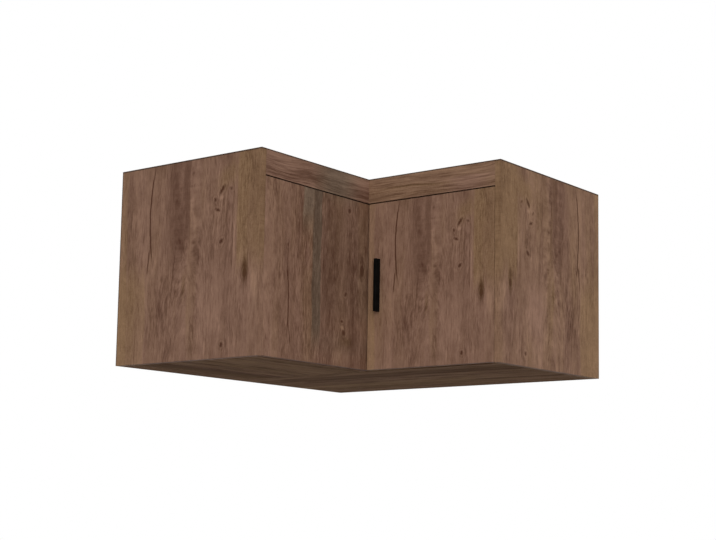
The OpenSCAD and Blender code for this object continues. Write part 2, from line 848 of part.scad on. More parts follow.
module cam() {
  translate([-cam_back, 0, board_t / 2 - cam_h]) difference() {
    cylinder(r = cam_d / 2, h = cam_h, $fn = round_fn);
    rod_x([-cam_head_len / 2 - spare, 0, cam_h - board_t / 2], cam_head_r + spare, cam_d);
    for (a = [0, 90]) rotate(a) translate([-cam_d / 4, -recess_slot / 2, cam_h - cam_recess])
      cube([cam_d / 2, recess_slot, cam_recess + cut]);
  }
}
module cam_bolt() {
  rod_x([-cam_back - cam_head_len / 2, 0, 0], cam_head_r, cam_head_len);
  rod_x([-cam_back, 0, 0], cam_neck_r, cam_d / 2 + cam_head_len);
  rod_x([-cam_back + cam_d / 2 + cut, 0, 0], cam_shank_r, cam_back - cam_d / 2 - cut + face_hole - spare);
}
module dowel() {
  c = dowel_chamfer;
  r = dowel_d / 2;
  translate([face_hole - spare - dowel_len, 0, 0]) rotate([0, 90, 0]) rotate_extrude($fn = small_fn)
    polygon([[0, 0], [r - c, 0], [r, c], [r, dowel_len - c], [r - c, dowel_len], [0, dowel_len]]);
}
// One child at every cam joint, and at every dowel of the boards
module at_cam_joints() {
  for (p = end_cams) {
    at_top_end() translate([0, -p, 0]) children();
    at_floor_end() translate([0, -p, 0]) children();
    left_wing() at_top_end() translate([0, -p, 0]) children();
    left_wing() at_floor_end() translate([0, -p, 0]) children();
  }
  for (p = butt_cams) {
    at_top_butt() translate([0, -p, 0]) children();
    at_floor_butt() translate([0, -p, 0]) children();
  }
  at_rail_end() children();
  left_wing() at_rail_end() children();
  at_rear_rail_end() children();
}
module at_dowels() {
  for (p = end_dowels) {
    at_top_end() translate([0, -p, 0]) children();
    at_floor_end() translate([0, -p, 0]) children();
    left_wing() at_top_end() translate([0, -p, 0]) children();
    left_wing() at_floor_end() translate([0, -p, 0]) children();
  }
  for (p = butt_dowels) {
    at_top_butt() translate([0, -p, 0]) children();
    at_floor_butt() translate([0, -p, 0]) children();
  }
  for (p = rail_dowels) {
    at_rail_end() translate([0, -p, 0]) children();
    left_wing() at_rail_end() translate([0, -p, 0]) children();
    at_rear_rail_end() translate([0, -p, 0]) children();
  }
  for (p = edge_dowels) at_rear_rail_edge() translate([0, -p, 0]) children();
  for (p = fascia_dowels) {
    at_fascia_end() translate([0, -p, 0]) children();
    left_wing() at_fascia_end() translate([0, -p, 0]) children();
  }
  for (p = front_dowels) at_fixed_end() translate([0, -p, 0]) children();
}
module cam_locks() { color(steel) at_cam_joints() cam(); }
module cam_bolts() { color(steel) at_cam_joints() cam_bolt(); }
module dowels() {
  color(beech) {
    at_dowels() dowel();
    // Thinner dowels in the ends of the posts
    for (p = post_dowel_xy, z = post_dowel_z) rod_z([p[0], p[1], z], post_dowel_r, dowel_len);
  }
}

// Small parts

// Shelf pins: a peg in the panel and a longer, flat-topped peg under the shelf
module pin() { rod_x([-pin_out, 0, -pin_d / 2], pin_d / 2, pin_out + pin_depth); }
module shelf_pins() {
  color(steel) {
    for (p = pin_places) {
      translate([panel_face, -p, shelf_z]) pin();
      left_wing() translate([panel_face, -p, shelf_z]) pin();
    }
    at_rear_pin() pin();
  }
}
module back_nails() {
  color(steel) {
    right_nails();
    left_wing() right_nails();
  }
}

// Soft bumpers on the corner post's lip behind the door
module door_bumpers() {
  color(clear_rubber) for (z = bumper_z)
    rod_y([bumper_x, -depth + post_outer - bumper_t, z], bumper_r, bumper_t);
}

// Steel angles that hold the fascias to the top boards and the fixed front to the bottom board:
// local Y runs inwards from the back of the front, and local Z up to the board
module at_fascia_brackets() {
  for (x = bracket_places) translate([x, -front_back, height - board_t]) children();
}
module at_floor_brackets() {
  for (x = bracket_places) translate([x, -front_back, board_t]) mirror([0, 0, 1]) children();
}
module bracket() {
  difference() {
    union() {
      block([-bracket_w / 2, 0, -bracket_leg], [bracket_w / 2, bracket_t, 0]);
      block([-bracket_w / 2, 0, -bracket_t], [bracket_w / 2, bracket_leg, 0]);
    }
    rod_y([0, -cut, -bracket_hole], bracket_screw_r + loose, bracket_t + 2 * cut);
    rod_z([0, bracket_hole, -bracket_t - cut], bracket_screw_r + loose, bracket_t + 2 * cut);
  }
}
// The holes for its two screws, in the front and in the board
module bracket_front_hole() {
  rod_y([0, -bracket_hole_len, -bracket_hole], bracket_screw_r + fit, bracket_hole_len + cut);
}
module bracket_leg_hole() {
  rod_z([0, bracket_hole, -cut], bracket_screw_r + fit, bracket_hole_len + cut);
}
module bracket_screws() {
  translate([0, bracket_t, -bracket_hole]) rotate([90, 0, 0]) bracket_screw();
  translate([0, bracket_hole, -bracket_t]) bracket_screw();
}
module bracket_screw() {
  screw(bracket_screw_r, bracket_t + bracket_screw_len, bracket_head_r, bracket_head_t);
}
module fascia_brackets() {
  color(steel) {
    at_fascia_brackets() bracket();
    left_wing() at_fascia_brackets() bracket();
  }
}
module fascia_bracket_screws() {
  color(steel) {
    at_fascia_brackets() bracket_screws();
    left_wing() at_fascia_brackets() bracket_screws();
  }
}
module front_brackets() { color(steel) left_wing() at_floor_brackets() bracket(); }
module front_bracket_screws() { color(steel) left_wing() at_floor_brackets() bracket_screws(); }

side_panel_left();
side_panel_right();
bottom_board_long();
bottom_board_short();
top_board_long();
top_board_short();
back_panel_left();
back_panel_right();
rear_post();
hanging_rail_left();
hanging_rail_right();
fascia_left();
fascia_right();
corner_post();
shelf();
fixed_front();
front_screws();
door();
handle_bar();
handle_screws();
hinge_cups();
hinge_cup_screws();
hinge_links();
hinge_arms();
hinge_arm_screws();
hinge_pins();
hinge_plates();
hinge_plate_screws();
cam_locks();
cam_bolts();
dowels();
shelf_pins();
back_nails();
door_bumpers();
fascia_brackets();
fascia_bracket_screws();
front_brackets();
front_bracket_screws();
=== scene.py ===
import math

import bpy
import numpy as np
from mathutils import Matrix, Vector


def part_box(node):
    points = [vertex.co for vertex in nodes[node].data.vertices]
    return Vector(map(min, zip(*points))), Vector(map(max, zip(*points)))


# Viewpoint
# The cabinet hangs above head height and is looked at from below, from in front of its inside corner.
# The camera's turns and place were solved from the edges that the photo shows.
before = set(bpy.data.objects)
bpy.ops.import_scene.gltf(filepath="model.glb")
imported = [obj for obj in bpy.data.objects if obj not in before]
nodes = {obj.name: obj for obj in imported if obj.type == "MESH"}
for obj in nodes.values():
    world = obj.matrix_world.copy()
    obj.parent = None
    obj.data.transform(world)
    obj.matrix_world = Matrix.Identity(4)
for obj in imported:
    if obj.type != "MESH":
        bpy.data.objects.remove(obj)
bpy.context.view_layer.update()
scene = bpy.context.scene
scene.view_settings.view_transform = "Standard"

# In degrees: round the vertical, upwards, and round the line of sight
yaw, pitch, roll = (math.radians(angle) for angle in (35.4619, 7.3647, 0.5661))
# In metres, from the corner of the walls
camera_place = (2.85768, -3.45751, -0.38458)
# Width of the photo, and how far its middle lies from the line of sight, in its pixels
photo_width, lens_across, lens_up = 716, -90, 60

level = Vector((-math.sin(yaw), math.cos(yaw), 0))
level_right = Vector((math.cos(yaw), math.sin(yaw), 0))
forward = math.cos(pitch) * level + math.sin(pitch) * Vector((0, 0, 1))
up = -math.sin(pitch) * level + math.cos(pitch) * Vector((0, 0, 1))
camera_right = math.cos(roll) * level_right + math.sin(roll) * up
camera_up = -math.sin(roll) * level_right + math.cos(roll) * up
camera = bpy.data.objects.new("camera", bpy.data.cameras.new("camera"))
camera.data.lens = 75.0615
camera.data.sensor_width = 36
camera.data.shift_x = lens_across / photo_width
camera.data.shift_y = lens_up / photo_width
camera.data.clip_end = 200
turned = Matrix([[camera_right[i], camera_up[i], -forward[i]] for i in range(3)])
camera.matrix_world = Matrix.Translation(camera_place) @ turned.to_4x4()
scene.collection.objects.link(camera)
scene.camera = camera


# Room
# A white studio with a pale floor two metres below the cabinet. The daylight is soft and comes from
# the room side, between the two wings, with a little from above and from behind.
class Recipe:
    """A node tree. Each method adds shader nodes to it and gives back the output that it makes."""

    def __init__(self, tree):
        self.tree = tree
        tree.nodes.clear()

    def node(self, kind, sockets, out=0, **settings):
        """Adds a node, sets or links its sockets by name or number, and gives back one output."""
        made = self.tree.nodes.new("ShaderNode" + kind)
        for name, value in settings.items():
            setattr(made, name, value)
        for key, value in sockets.items():
            if isinstance(value, bpy.types.NodeSocket):
                self.tree.links.new(value, made.inputs[key])
            else:
                made.inputs[key].default_value = value
        return made.outputs[out] if made.outputs else None

    def own_place(self):
        """The place on the piece in metres, which stays with the piece when it moves."""
        return self.node("TexCoord", {}, out="Object")

    def math(self, operation, a, b=0.0, c=0.0):
        """One sum of up to three numbers, such as a times b plus c for MULTIPLY_ADD."""
        return self.node("Math", {0: a, 1: b, 2: c}, operation=operation)

    def span(self, value, low, high, to_low=0.0, to_high=1.0):
        """Eases from to_low to to_high while value goes from low to high."""
        return self.node("MapRange", {0: value, 1: low, 2: high, 3: to_low, 4: to_high},
                         interpolation_type="SMOOTHSTEP")

    def mix(self, share, a, b):
        """Colour a where the share is zero and colour b where it is one."""
        return self.node("Mix", {0: share, 6: a, 7: b}, out=2, data_type="RGBA", blend_type="MIX")

    def noise(self, place, scale, detail=2.0, rough=0.5, bend=0.0):
        """Smooth noise about 0.5, with scale waves to each unit of place, and finer ones by detail."""
        return self.node("TexNoise", {"Vector": place, "Scale": scale, "Detail": detail,
                                      "Roughness": rough, "Distortion": bend})

    def seen(self):
        """One where the camera, a reflection or a view through glass meets the surface."""
        direct = self.node("LightPath", {}, out="Is Camera Ray")
        either = self.math("MAXIMUM", direct, self.node("LightPath", {}, out="Is Glossy Ray"))
        return self.math("MAXIMUM", either, self.node("LightPath", {}, out="Is Transmission Ray"))


def linear(red, green, blue):
    """The linear colour of a screen colour of 0 to 255: each share of 255 is divided by 12.92 where
    it is dark, and otherwise raised to the power 2.4 after a shift by 0.055."""
    shares = [v / 255 for v in (red, green, blue)]
    return tuple(v / 12.92 if v <= 0.04045 else ((v + 0.055) / 1.055) ** 2.4 for v in shares) + (1.0,)


# The surroundings look white, and light the cabinet with a third of that
sky_on_cabinet = 0.32
world = bpy.data.worlds.new("studio")
world.use_nodes = True
scene.world = world
sky = Recipe(world.node_tree)
sky_strength = sky.span(sky.seen(), 0, 1, sky_on_cabinet, 1.0)
sky_light = sky.node("Background", {"Color": (1, 1, 1, 1), "Strength": sky_strength})
sky.node("OutputWorld", {"Surface": sky_light})

# A round floor, whose paint fades to the white of the surroundings between two distances
floor_z, floor_radius, floor_corners = -2.2, 14.0, 96
fade_start, fade_end = 4.0, 12.0
pale_grey, paler_grey = (0.70, 0.70, 0.70, 1), (0.78, 0.78, 0.78, 1)
# What the floor throws back at the cabinet is darker than what the camera sees of it
bounced_grey = (0.28, 0.28, 0.28, 1)
bounced_glow = 0.3

ring = np.linspace(0, 2 * math.pi, floor_corners + 1)[:-1]
floor_points = np.stack([floor_radius * np.cos(ring), floor_radius * np.sin(ring),
                         np.full(floor_corners, floor_z)], 1)
floor_mesh = bpy.data.meshes.new("floor")
floor_mesh.from_pydata(floor_points.tolist(), [], [list(range(floor_corners))])
floor = bpy.data.objects.new("floor", floor_mesh)
scene.collection.objects.link(floor)
floor_paint = bpy.data.materials.new("pale_floor")
floor_paint.use_nodes = True
paint = Recipe(floor_paint.node_tree)
place = paint.own_place()
cloud = paint.span(paint.noise(place, 0.8, 3), 0.3, 0.7, 0.92, 1.0)
reach = paint.node("VectorMath", {0: place}, out="Value", operation="LENGTH")
grey = paint.mix(paint.seen(), bounced_grey, paint.mix(cloud, pale_grey, paler_grey))
matt = paint.node("BsdfPrincipled", {"Base Color": grey, "Roughness": 0.9, "Specular IOR Level": 0.1})
glow = paint.span(paint.seen(), 0, 1, bounced_glow, 1.0)
white = paint.node("Emission", {"Color": (1, 1, 1, 1), "Strength": glow})
faded = paint.node("MixShader", {0: paint.span(reach, fade_start, fade_end), 1: matt, 2: white})
paint.node("OutputMaterial", {"Surface": faded})
floor_mesh.materials.append(floor_paint)


def lamp(name, azimuth, height, strength, softness, glints=True):
    """A soft far lamp, at an azimuth from +X towards +Y and a height above the horizon, in degrees.
    Its energy is the strength times pi, so that a white surface facing a strength of one is white.
    Without glints it lights matt surfaces and no gloss mirrors it."""
    light = bpy.data.lights.new(name, "SUN")
    light.energy = strength * math.pi
    light.angle = math.radians(softness)
    turn, rise = math.radians(azimuth), math.radians(height)
    towards = Vector((math.cos(rise) * math.cos(turn), math.cos(rise) * math.sin(turn), math.sin(rise)))
    holder = bpy.data.objects.new(name, light)
    holder.rotation_euler = towards.to_track_quat("Z", "Y").to_euler()
    holder.visible_glossy = glints
    scene.collection.objects.link(holder)


lamp("window_light", azimuth=-44, height=20, strength=0.89, softness=50, glints=False)
lamp("ceiling_light", azimuth=-60, height=72, strength=0.34, softness=60)
lamp("room_fill", azimuth=135, height=25, strength=0.34, softness=60)

# Side panels
# Two chipboard panels with a matt oak pattern foil and edge bands in the same pattern. They stand at
# the outer ends of the wings, and their front edges show beside the fascias.

# Axes of a board, as places in a vector
X, Y, Z = 0, 1, 2
# Width and height in metres of the printed pattern that fills a panel, the door or the fixed front
sheet_wide, sheet_high = 0.43, 0.45


def finish(name):
    """A new material with an empty tree, as (material, recipe)."""
    material = bpy.data.materials.new(name)
    material.use_nodes = True
    return material, Recipe(material.node_tree)


def wear(node_names, material):
    """Gives CAD nodes their material."""
    for name in node_names:
        mesh = nodes[name].data
        mesh.materials.clear()
        mesh.materials.append(material)


def board_place(r, low, size, across, along, flat, flip=False, stretch=True):
    """Pattern coordinates of a board: across the grain, along it and through the board, in metres.
    Each is the place less the lowest corner. Where stretch is set, it is also divided by the board's
    size and multiplied by the sheet's, and flip counts the place across from the other side."""
    scale = [1.0, 1.0, 1.0]
    if stretch:
        scale[across] = size[across] / sheet_wide
        scale[along] = size[along] / sheet_high
    fitted = r.node("Mapping", {"Vector": r.own_place(), "Location": list(low), "Scale": scale},
                    vector_type="TEXTURE")
    parts = r.tree.nodes.new("ShaderNodeSeparateXYZ")
    r.tree.links.new(fitted, parts.inputs[0])
    a = parts.outputs[across]
    if flip:
        a = r.math("SUBTRACT", sheet_wide, a)
    return a, parts.outputs[along], parts.outputs[flat]


def spot(r, place, u, v, wide, high, turn):
    """A soft oval mark about (u, v), turned by some degrees, as (share, own place, distance). Its own
    place counts in half widths and half heights, the distance is that place's length, and the share
    eases from one at the middle to zero at distance one."""
    own = r.node("Mapping", {"Vector": place, "Location": (u, v, 0), "Scale": (wide, high, 1),
                             "Rotation": (0, 0, math.radians(turn))}, vector_type="TEXTURE")
    flat = r.node("VectorMath", {0: own, 1: (1, 1, 0)}, operation="MULTIPLY")
    far = r.node("VectorMath", {0: flat}, out="Value", operation="LENGTH")
    return r.span(far, 1.0, 0.0), own, far


def bend_round_knots(r, plane, across, knots):
    """The place across with the grain bent round each knot, and each knot's tone. The place is pushed
    off by 2.2 half widths times the nearness times the side place, as far out as 3.6 half widths and
    2.8 half heights. The tone is -0.60 of the knot's depth in a core with a ragged rim, plus 0.08 of
    it times the sine of 17 distances, which makes rings that fade outwards."""
    ragged = r.math("MULTIPLY", r.math("SUBTRACT", r.noise(plane, 420), 0.5), 0.7)
    marks = []
    for u, v, wide, high, turn, depth in knots:
        near, own, far = spot(r, plane, u, v, wide * 3.6, high * 2.8, turn)
        side = r.node("SeparateXYZ", {0: own}, out="X")
        push = r.math("MULTIPLY", r.math("MULTIPLY", side, near), wide * 2.2)
        across = r.math("SUBTRACT", across, push)
        core_distance = spot(r, plane, u, v, wide, high, turn)[2]
        core = r.math("MULTIPLY", r.span(r.math("ADD", core_distance, ragged), 1.0, 0.15), -0.60 * depth)
        rings = r.math("MULTIPLY", r.math("SINE", r.math("MULTIPLY", far, 17.0)), near)
        marks.append(r.math("MULTIPLY_ADD", rings, 0.08 * depth, core))
    return across, marks


def arch_over(r, across, g, seed, arch):
    """The place across and the seed of arched grain. The place is the distance from the arch's line,
    rounded over its first 3 mm, plus a rise times the place along up to the arch's top, and the rise
    fades to nothing at its half width. The seed grows by 3 from side to side, so the two differ."""
    line, half_width, top, rise = arch
    tip = 0.003
    off = r.math("SUBTRACT", across, line)
    side_seed = r.math("MULTIPLY_ADD", r.span(off, -half_width, half_width), 3.0, seed)
    off = r.math("SQRT", r.math("MULTIPLY_ADD", off, off, tip ** 2))
    climbed = r.math("MULTIPLY", r.math("SMOOTH_MIN", g, top, 0.2), rise)
    return r.math("MULTIPLY_ADD", r.span(off, half_width, 0.0), climbed, off), side_seed


def split_depth(r, a, g, seed, cracks):
    """How deep a place lies in a dark split, from zero to one, or None where there are none. A split
    runs at its place across, plus its lean and curve times the rise from its middle and that rise
    squared, plus a drift of up to 2 mm. It is full within a quarter of its half width, and fades out
    beyond 0.45 of its half height."""
    deepest = None
    for u, v, high, width, lean, curve, amount in cracks:
        line = r.node("CombineXYZ", {0: 0.0, 1: r.math("MULTIPLY", g, 60.0), 2: seed + u * 50})
        drift = r.math("MULTIPLY_ADD", r.math("SUBTRACT", r.noise(line, 1.0, 3), 0.5), 0.004, u)
        rise = r.math("SUBTRACT", g, v)
        path = r.math("MULTIPLY_ADD", rise, r.math("MULTIPLY_ADD", rise, curve, lean), drift)
        off = r.math("ABSOLUTE", r.math("SUBTRACT", a, path))
        ends = r.span(r.math("ABSOLUTE", rise), high, high * 0.45)
        one = r.math("MULTIPLY", r.span(off, width, width * 0.25), r.math("MULTIPLY", ends, amount))
        deepest = one if deepest is None else r.math("MAXIMUM", deepest, one)
    return deepest


def dark_edge_share(r, a, g, soft_normal, rims):
    """The share of a dark brown along edges and rims. It is up to 0.45 on an edge, by how far the
    rounded normal leans away from the face's own. On the face itself, up to 0.4 mm from its end, it
    grows to
    0.85 from where a rim starts to where it is full."""
    true_normal = r.node("NewGeometry", {}, out="True Normal")
    lean_away = r.node("VectorMath", {0: soft_normal, 1: true_normal}, out="Value",
                       operation="DOT_PRODUCT")
    edge = r.math("MULTIPLY", r.span(lean_away, 0.995, 0.86), 0.45)
    for direction, start, full, face_end in rims:
        at = a if direction == "across" else g
        on_face = r.span(at, face_end, face_end + math.copysign(0.0004, start - face_end))
        line = r.math("MULTIPLY", on_face, r.span(at, start, full, 0.0, 0.85))
        edge = r.math("MAXIMUM", edge, line)
    return edge


def oak(r, a, g, t, knots=(), cracks=(), arch=None, bands=(), greys=(), patches=(), rims=(),
        seed=0.0, light=0.0, olive=0.0, strength=1.0, run=1.0, sheen=0.1):
    """The oak pattern, at places across and along the sheet in metres. Tone is a sum of streak noises
    that are long in the grain direction, and of upright bands, soft patches, knots and thin dark
    splits. The streaks bend round knots, close to nested points under an arch, are run times as long
    and strength times as strong as usual, and are calmer in dark bands. In olive parts they are
    weaker, with slanting flecks. Hue goes from a reddish to an olive brown, greys are bands of grey
    brown, and sheen is the foil's specular level. In metres and degrees, a is the place across the
    grain, g along it and t through the board, and the marks are tuples:
    knots (across, along, half width, half height, turn, depth)
    cracks (across, along, half height, half width, lean, curve, strength)
    arch (across, half width, top, rise)
    bands (left, its blur, right, its blur, low, high, added tone, added hue), greys (same six, share)
    patches (across, along, half width, half height, turn, added tone, added hue)
    rims (direction, where a dark line starts, where it is full, where the face ends)"""
    plane = r.node("CombineXYZ", {0: a, 1: g, 2: 0.0})
    # The grain sways by up to 17 mm, over about 11 cm across and 25 cm along
    slow = r.node("CombineXYZ", {0: r.math("MULTIPLY", a, 9.0), 1: r.math("MULTIPLY", g, 4.0), 2: seed})
    sway = r.math("MULTIPLY", r.math("SUBTRACT", r.noise(slow, 1.0, 3), 0.5), 0.034)
    straight, marks = bend_round_knots(r, plane, r.math("ADD", a, sway), knots)
    bent, side_seed = arch_over(r, straight, g, seed, arch) if arch else (straight, seed)

    def streaks(across, along, detail, offset, rough=0.55):
        """Noise about zero, with so many waves to the metre across the grain and along it."""
        sideways = r.math("MULTIPLY", bent, across)
        lengthways = r.math("MULTIPLY", g, along / run)
        deep = r.math("ADD", r.math("MULTIPLY_ADD", t, across, offset), side_seed)
        grown = r.node("CombineXYZ", {0: sideways, 1: lengthways, 2: deep})
        return r.math("SUBTRACT", r.noise(grown, 1.0, detail, rough), 0.5)

    # Streaks of three widths, cloudy figure, dark dashes, and pores that also dent the foil
    fine = streaks(across=520, along=55, detail=3, offset=1.7)
    middle = streaks(across=170, along=19, detail=3, offset=5.1)
    wide = streaks(across=30, along=3.0, detail=2, offset=9.3)
    cloudy = streaks(across=60, along=26, detail=3, offset=13.7, rough=0.6)
    dashes = r.span(streaks(across=430, along=30, detail=1, offset=17.9), 0.14, 0.24)
    pores = r.span(streaks(across=1500, along=70, detail=1, offset=21.0), 0.10, 0.24)
    # Some stretches have half of the streaks' strength, and some a little more than all of it
    calm = r.span(streaks(across=14, along=5.0, detail=2, offset=27.0), -0.12, 0.14, 0.5, 1.15)
    grain = r.math("MULTIPLY_ADD", fine, 0.70, r.math("MULTIPLY", middle, 0.60))
    grain = r.math("MULTIPLY", grain, calm)
    for layer, weight in ((wide, 0.45), (cloudy, 0.34), (dashes, -0.12), (pores, -0.10)):
        grain = r.math("MULTIPLY_ADD", layer, weight, grain)

    tone = 0.5 + light
    hue_drift = streaks(across=17, along=2.0, detail=2, offset=31.0)
    hue = r.math("MULTIPLY_ADD", hue_drift, 1.4, 0.12 + olive)
    # The sides of a band waver with the streaks by 4 mm times their tone
    band_line = r.math("ADD", straight, r.math("MULTIPLY", middle, 0.004))

    def band(left, left_blur, right, right_blur, low, high, end_blur=0.05):
        """One inside a band. It eases to zero from one blur inside each side to one blur outside it,
        and likewise from 5 cm inside each end to 5 cm outside it."""
        start = r.span(band_line, left - left_blur, left + left_blur)
        stop = r.span(band_line, right + right_blur, right - right_blur)
        rise = r.span(g, low - end_blur, low + end_blur)
        fall = r.span(g, high + end_blur, high - end_blur)
        return r.math("MULTIPLY", r.math("MULTIPLY", start, stop), r.math("MULTIPLY", rise, fall))

    # A band whose added tone is below this takes nearly half of the streaks' strength
    dark_band, calming = -0.14, -0.45
    quiet = 1.0
    for *sides, amount, hue_amount in bands:
        inside = band(*sides)
        if amount < dark_band:
            quiet = r.math("MULTIPLY_ADD", inside, calming, quiet)
        tone = r.math("MULTIPLY_ADD", inside, amount, tone)
        hue = r.math("MULTIPLY_ADD", inside, hue_amount, hue)
    for u, v, half_width, half_height, turn, amount, hue_amount in patches:
        inside = spot(r, plane, u, v, half_width, half_height, turn)[0]
        tone = r.math("MULTIPLY_ADD", inside, amount, tone)
        hue = r.math("MULTIPLY_ADD", inside, hue_amount, hue)
    grain = r.math("MULTIPLY", grain, r.span(hue, 0.3, 0.9, strength, 0.72 * strength))
    grain = r.math("MULTIPLY", grain, quiet)
    tone = r.math("ADD", grain, tone)

    # Slanting flecks: noise on axes that cross the grain at an angle
    over = r.math("MULTIPLY_ADD", g, 60.0, r.math("MULTIPLY", bent, 120.0))
    aslant = r.math("MULTIPLY_ADD", bent, -70.0, r.math("MULTIPLY", g, 110.0))
    fleck_place = r.node("CombineXYZ", {0: over, 1: aslant, 2: seed})
    flecks = r.math("SUBTRACT", r.noise(fleck_place, 1.0, 3, 0.6, bend=1.2), 0.5)
    flecks = r.math("MULTIPLY", flecks, r.span(hue, 0.2, 0.9, 0.35, 1.0))
    tone = r.math("MULTIPLY_ADD", flecks, 0.36, tone)

    for mark in marks:
        tone = r.math("ADD", tone, mark)
    split = split_depth(r, a, g, seed, cracks)
    if split is not None:
        tone = r.math("MULTIPLY_ADD", split, -0.6, tone)
    shade = r.span(tone, 0.0, 1.0)
    red_brown = r.mix(shade, linear(70, 44, 32), linear(147, 115, 97))
    olive_brown = r.mix(shade, linear(71, 47, 29), linear(147, 117, 89))
    grey_brown = r.mix(shade, linear(66, 51, 40), linear(134, 114, 97))
    edge_brown = linear(56, 42, 34)
    colour = r.mix(r.span(hue, 0.0, 1.0), red_brown, olive_brown)
    for *sides, amount in greys:
        colour = r.mix(r.math("MULTIPLY", band(*sides), amount), colour, grey_brown)
    soft_normal = r.node("Bevel", {"Radius": 0.0009}, samples=4)
    colour = r.mix(dark_edge_share(r, a, g, soft_normal, rims), colour, edge_brown)

    height = r.math("MULTIPLY_ADD", pores, -0.6, r.math("MULTIPLY", fine, 0.8))
    if split is not None:
        height = r.math("MULTIPLY_ADD", split, -2.0, height)
    bump = r.node("Bump", {"Strength": 0.35, "Distance": 0.0004, "Height": height,
                           "Normal": soft_normal})
    rough = r.math("MULTIPLY_ADD", middle, 0.2, 0.72)
    foil = r.node("BsdfPrincipled", {"Base Color": colour, "Roughness": rough,
                                     "Specular IOR Level": sheen, "Normal": bump})
    r.node("OutputMaterial", {"Surface": foil})


def board(name, node, across, along, flat, flip=False, stretch=True, **pattern):
    """Gives one board its own piece of the oak pattern, laid out from its lowest corner. Its three
    axes are the one across the grain, the one along it and the one through the board."""
    low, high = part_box(node)
    material, r = finish(name)
    a, g, t = board_place(r, low, high - low, across, along, flat, flip, stretch)
    oak(r, a, g, t, **pattern)
    wear([node], material)


# The marks of the pattern sheet that the side panels and the door share: a long split, a dark band
# with a sharp right side, a column of knots, arched grain in the middle and an olive strip.
sheet = {
    "knots": [
        (0.317, 0.370, 0.0048, 0.0140, -35, 1.1),
        (0.344, 0.370, 0.0040, 0.0070, 60, 0.5),
        (0.297, 0.350, 0.0040, 0.0065, 30, 0.7),
        (0.305, 0.326, 0.0042, 0.0095, 70, 0.9),
        (0.318, 0.256, 0.0050, 0.0080, -50, 1.0),
        (0.389, 0.180, 0.0048, 0.0095, 0, 0.8),
        (0.326, 0.029, 0.0055, 0.0065, 0, 0.9),
    ],
    "cracks": [
        (0.096, 0.335, 0.125, 0.0029, 0.010, 0.95, 1.0),
        (0.0935, 0.228, 0.034, 0.0024, 0.100, 0.00, 0.7),
        (0.172, 0.190, 0.070, 0.0012, 0.100, 0.50, 0.4),
        (0.352, 0.260, 0.100, 0.0012, 0.040, 0.30, 0.3),
    ],
    "arch": (0.212, 0.050, 0.230, 0.17),
    "bands": [
        (0.152, 0.026, 0.224, 0.002, 0.260, 0.520, -0.16, -0.05),
        (0.366, 0.006, 0.440, 0.004, 0.200, 0.520, -0.01, 0.70),
        (-0.01, 0.004, 0.086, 0.004, -0.10, 0.200, 0.05, 0.50),
        (-0.01, 0.004, 0.024, 0.004, -0.10, 0.520, 0.03, 0.40),
        (0.232, 0.003, 0.255, 0.008, 0.270, 0.420, 0.06, 0.10),
        (-0.01, 0.004, 0.440, 0.004, 0.470, 0.520, -0.02, 0.60),
    ],
    "patches": [
        (0.202, 0.262, 0.018, 0.050, 20, -0.12, 0.0),
        (0.356, 0.280, 0.006, 0.090, 0, 0.18, 0.0),
        (0.316, 0.352, 0.011, 0.007, 20, 0.30, 0.0),
        (0.306, 0.244, 0.008, 0.010, 40, 0.14, 0.0),
        (0.335, 0.400, 0.060, 0.040, 40, -0.03, 0.6),
        (0.412, 0.160, 0.018, 0.050, 10, 0.15, 0.2),
        (0.389, 0.186, 0.014, 0.048, 0, -0.38, 0.7),
        (0.128, 0.110, 0.034, 0.110, 0, -0.14, -0.2),
        (0.290, 0.110, 0.060, 0.100, 0, 0.08, -0.3),
        (0.172, 0.110, 0.016, 0.080, 0, 0.08, 0.0),
        (0.208, 0.170, 0.012, 0.060, 0, -0.10, 0.5),
    ],
}
# Both panels show a dark line along their top edge, and the left one also along its rear edge
top_rim = ("along", 0.4460, 0.4476, 0.45)
rear_rim = ("across", 0.0026, 0.0014, 0.0)
board("oak_panel_left", "side_panel_left", X, Z, Y, strength=0.93, **sheet, rims=[top_rim, rear_rim])
board("oak_panel_right", "side_panel_right", Y, Z, X, flip=True, olive=0.25, light=0.02, strength=1.1,
      **sheet, rims=[top_rim])

# Bottom boards
# The long board runs under the right wing and the corner, the short one under the left wing. Both are
# of chipboard with the foil, with the grain along the wings. The underside, which is seen at a low
# angle, stays dark in the photo, so the foil there has hardly any sheen.
board("oak_bottom_long", "bottom_board_long", Y, X, Z, stretch=False, seed=3.0, light=0.04, olive=0.48,
      strength=2.3, run=3.0, sheen=0.003,
      cracks=[(0.120, 0.600, 0.150, 0.0018, 0, 0, 0.6),
              (0.350, 0.250, 0.120, 0.0016, 0, 0, 0.5)],
      bands=[(0.060, 0.010, 0.130, 0.004, 0.1, 0.9, -0.15, 0.0),
             (0.250, 0.010, 0.330, 0.006, 0.0, 0.6, 0.10, 0.2)])
board("oak_bottom_short", "bottom_board_short", X, Y, Z, stretch=False, seed=6.0, light=0.04, olive=0.48,
      strength=2.3, run=3.0, sheen=0.003,
      cracks=[(0.200, 0.200, 0.120, 0.0018, 0, 0, 0.6)],
      bands=[(0.080, 0.010, 0.150, 0.004, -0.1, 0.5, -0.15, 0.0),
             (0.300, 0.010, 0.380, 0.006, 0.0, 0.5, 0.10, 0.2)])

# Top boards
# The same two boards again at the top, of chipboard with the same foil. Cams and dowels hold them
# between the side panels and to each other.
board("oak_top_long", "top_board_long", Y, X, Z, stretch=False, seed=11.0)
board("oak_top_short", "top_board_short", X, Y, Z, stretch=False, seed=14.0)

